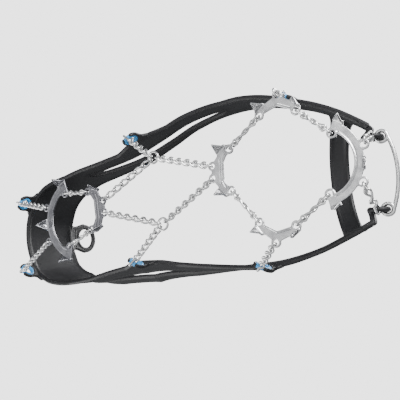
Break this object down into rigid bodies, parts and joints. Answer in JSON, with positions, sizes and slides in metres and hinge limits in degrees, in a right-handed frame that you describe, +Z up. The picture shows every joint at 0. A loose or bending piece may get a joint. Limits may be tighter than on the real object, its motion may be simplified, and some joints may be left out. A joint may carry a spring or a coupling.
{
  "type": "shoe ice cleats",
  "caption": "Ice cleat for one shoe: toothed steel plates linked by rings and curb chain under the sole, hung from a rubber harness with a wire toe bail and a heel pull tab",
  "frame": {"origin": "on the underside of the shoe sole, half way along it, at the mount shoe_seat", "axes": "+X points to the toe, +Y to the inner side of the right foot, +Z up into the shoe; the teeth point down"},
  "size_m": [0.3077, 0.1194, 0.1078],
  "materials": {
    "plate": "fine brushed stainless steel",
    "heel_plate": "brushed stainless steel, reflecting a darker surround",
    "wire": "bright tumbled stainless steel wire",
    "harness": "satin black elastomer",
    "eyelet": "satin sky blue elastomer"
  },
  "bodies": {
    "harness": {"lower_band_outer": "harness", "lower_band_inner": "harness", "upper_band_outer": "harness", "upper_band_inner": "harness", "heel_cup": "harness", "toe_strap": "harness", "toe_eyelet_outer": "harness", "toe_eyelet_inner": "harness", "side_eyelet_outer": "eyelet", "side_eyelet_inner": "eyelet", "mid_eyelet_outer": "eyelet", "mid_eyelet_inner": "eyelet", "heel_eyelet_outer": "eyelet", "heel_eyelet_inner": "eyelet"},
    "pull_tab": {"pull_tab": "harness"},
    "toe_bail": {"toe_bail": "wire"},
    "toe_plate": {"toe_plate": "plate"},
    "side_plate_outer": {"side_plate_outer": "plate"},
    "side_plate_inner": {"side_plate_inner": "plate"},
    "ball_plate": {"ball_plate": "plate"},
    "fore_heel_plate": {"fore_heel_plate": "heel_plate"},
    "rear_heel_plate": {"rear_heel_plate": "heel_plate"},
    "toe_connector_outer": {"toe_connector_outer": "wire"},
    "ball_connector_outer": {"ball_connector_outer": "wire"},
    "heel_connector_outer": {"heel_connector_outer": "wire"},
    "toe_chain_outer": {"toe_chain_outer": "wire"},
    "side_chain_outer": {"side_chain_outer": "wire"},
    "heel_chain_outer": {"heel_chain_outer": "wire"},
    "ball_leg_outer": {"ball_leg_outer": "wire"},
    "heel_leg_outer": {"heel_leg_outer": "wire"},
    "mid_chain_outer": {"mid_chain_outer": "wire"},
    "knot_ring_outer": {"knot_ring_outer": "wire"},
    "toe_connector_inner": {"toe_connector_inner": "wire"},
    "ball_connector_inner": {"ball_connector_inner": "wire"},
    "heel_connector_inner": {"heel_connector_inner": "wire"},
    "toe_chain_inner": {"toe_chain_inner": "wire"},
    "side_chain_inner": {"side_chain_inner": "wire"},
    "heel_chain_inner": {"heel_chain_inner": "wire"},
    "ball_leg_inner": {"ball_leg_inner": "wire"},
    "heel_leg_inner": {"heel_leg_inner": "wire"},
    "mid_chain_inner": {"mid_chain_inner": "wire"},
    "knot_ring_inner": {"knot_ring_inner": "wire"}
  },
  "joints": [
    {"name": "tab_bend", "type": "hinge", "parent": "harness", "child": "pull_tab", "pos_m": [-0.1458, 0.008, 0.06775], "axis": [0, 1, 0], "range_deg": [-60, 15], "stiffness_Nm_per_rad": 0.01},
    {"name": "bail_swing", "type": "hinge", "parent": "harness", "child": "toe_bail", "pos_m": [0.1404, 0.0071, 0.0178], "axis": [-0.0483, 0.9988, 0], "range_deg": [-60, 20]},
    {"name": "toe_plate_rock", "type": "hinge", "parent": "harness", "child": "toe_plate", "pos_m": [0.12984, 0.0014, 0.00074], "axis": [-0.1564, 0.9877, 0], "range_deg": [-1, 1]},
    {"name": "side_plate_outer_rock", "type": "hinge", "parent": "harness", "child": "side_plate_outer", "pos_m": [0.09452, -0.04027, -0.0032], "axis": [0.9945, 0.1045, 0], "range_deg": [-1.5, 1.5]},
    {"name": "side_plate_inner_rock", "type": "hinge", "parent": "harness", "child": "side_plate_inner", "pos_m": [0.08539, 0.0344, -0.0032], "axis": [0.9792, 0.2028, 0], "range_deg": [-1.5, 1.5]},
    {"name": "ball_plate_rock", "type": "hinge", "parent": "harness", "child": "ball_plate", "pos_m": [0.05311, -0.00802, -0.0032], "axis": [-0.0523, 0.9986, 0], "range_deg": [-2, 2]},
    {"name": "fore_heel_plate_rock", "type": "hinge", "parent": "harness", "child": "fore_heel_plate", "pos_m": [-0.05141, -0.00031, -0.0032], "axis": [0.061, 0.9981, 0], "range_deg": [-2, 2]},
    {"name": "rear_heel_plate_rock", "type": "hinge", "parent": "harness", "child": "rear_heel_plate", "pos_m": [-0.09079, 0.00407, -0.0032], "axis": [0.0454, 0.999, 0], "range_deg": [-1.5, 1.5]},
    {"name": "toe_connector_outer_roll", "type": "hinge", "parent": "harness", "child": "toe_connector_outer", "pos_m": [0.11455, -0.02544, -0.0018], "axis": [-0.7182, -0.6824, -0.1358], "range_deg": [-10, 10]},
    {"name": "ball_connector_outer_roll", "type": "hinge", "parent": "harness", "child": "ball_connector_outer", "pos_m": [0.07127, -0.02854, -0.0032], "axis": [-0.8174, 0.5761, 0], "range_deg": [-10, 10]},
    {"name": "heel_connector_outer_roll", "type": "hinge", "parent": "harness", "child": "heel_connector_outer", "pos_m": [-0.07017, -0.01493, -0.0032], "axis": [-0.9948, -0.1022, 0], "range_deg": [-10, 10]},
    {"name": "toe_chain_outer_roll", "type": "hinge", "parent": "harness", "child": "toe_chain_outer", "pos_m": [0.14117, -0.0116, 0.00736], "axis": [0.0392, -0.3335, 0.9419], "range_deg": [-2, 2]},
    {"name": "side_chain_outer_roll", "type": "hinge", "parent": "harness", "child": "side_chain_outer", "pos_m": [0.09386, -0.04865, 0.0034], "axis": [-0.0392, -0.0844, 0.9957], "range_deg": [-8, 8]},
    {"name": "heel_chain_outer_roll", "type": "hinge", "parent": "harness", "child": "heel_chain_outer", "pos_m": [-0.12409, -0.01438, 0.0024], "axis": [-0.933, -0.2481, 0.2608], "range_deg": [-8, 8]},
    {"name": "ball_leg_outer_roll", "type": "hinge", "parent": "harness", "child": "ball_leg_outer", "pos_m": [0.02343, -0.01994, -0.0032], "axis": [-0.9498, -0.3128, 0], "range_deg": [-8, 8]},
    {"name": "heel_leg_outer_roll", "type": "hinge", "parent": "harness", "child": "heel_leg_outer", "pos_m": [-0.02037, -0.01651, -0.0032], "axis": [0.9054, -0.4245, 0], "range_deg": [-8, 8]},
    {"name": "mid_chain_outer_roll", "type": "hinge", "parent": "harness", "child": "mid_chain_outer", "pos_m": [-0.01452, -0.03928, 0.0024], "axis": [-0.7607, -0.5658, 0.3182], "range_deg": [-8, 8]},
    {"name": "knot_ring_outer_spin", "type": "hinge", "parent": "harness", "child": "knot_ring_outer", "pos_m": [0.002, -0.027, -0.0032], "axis": [0, 0, 1], "range_deg": [-30, 30]},
    {"name": "toe_connector_inner_roll", "type": "hinge", "parent": "harness", "child": "toe_connector_inner", "pos_m": [0.108, 0.02431, -0.00179], "axis": [-0.8012, 0.5832, -0.1343], "range_deg": [-10, 10]},
    {"name": "ball_connector_inner_roll", "type": "hinge", "parent": "harness", "child": "ball_connector_inner", "pos_m": [0.06688, 0.01617, -0.0032], "axis": [-0.6006, -0.7996, 0], "range_deg": [-10, 10]},
    {"name": "heel_connector_inner_roll", "type": "hinge", "parent": "harness", "child": "heel_connector_inner", "pos_m": [-0.06843, 0.01863, -0.0032], "axis": [-0.9232, 0.3843, 0], "range_deg": [-10, 10]},
    {"name": "toe_chain_inner_roll", "type": "hinge", "parent": "harness", "child": "toe_chain_inner", "pos_m": [0.13837, 0.02151, 0.00737], "axis": [0.1208, 0.7396, 0.6621], "range_deg": [-2, 2]},
    {"name": "side_chain_inner_roll", "type": "hinge", "parent": "harness", "child": "side_chain_inner", "pos_m": [0.07416, 0.04706, 0.0034], "axis": [-0.6813, 0.4792, 0.5533], "range_deg": [-8, 8]},
    {"name": "heel_chain_inner_roll", "type": "hinge", "parent": "harness", "child": "heel_chain_inner", "pos_m": [-0.12347, 0.02711, 0.0024], "axis": [-0.8949, 0.3749, 0.2422], "range_deg": [-8, 8]},
    {"name": "ball_leg_inner_roll", "type": "hinge", "parent": "harness", "child": "ball_leg_inner", "pos_m": [0.02507, 0.00755, -0.0032], "axis": [-0.8728, 0.4882, 0], "range_deg": [-8, 8]},
    {"name": "heel_leg_inner_roll", "type": "hinge", "parent": "harness", "child": "heel_leg_inner", "pos_m": [-0.01829, 0.01137, -0.0032], "axis": [0.958, 0.2869, 0], "range_deg": [-8, 8]},
    {"name": "mid_chain_inner_roll", "type": "hinge", "parent": "harness", "child": "mid_chain_inner", "pos_m": [-0.01443, 0.03067, 0.0024], "axis": [-0.8202, 0.5008, 0.2767], "range_deg": [-8, 8]},
    {"name": "knot_ring_inner_spin", "type": "hinge", "parent": "harness", "child": "knot_ring_inner", "pos_m": [0.0055, 0.0185, -0.0032], "axis": [0, 0, 1], "range_deg": [-30, 30]}
  ]
}
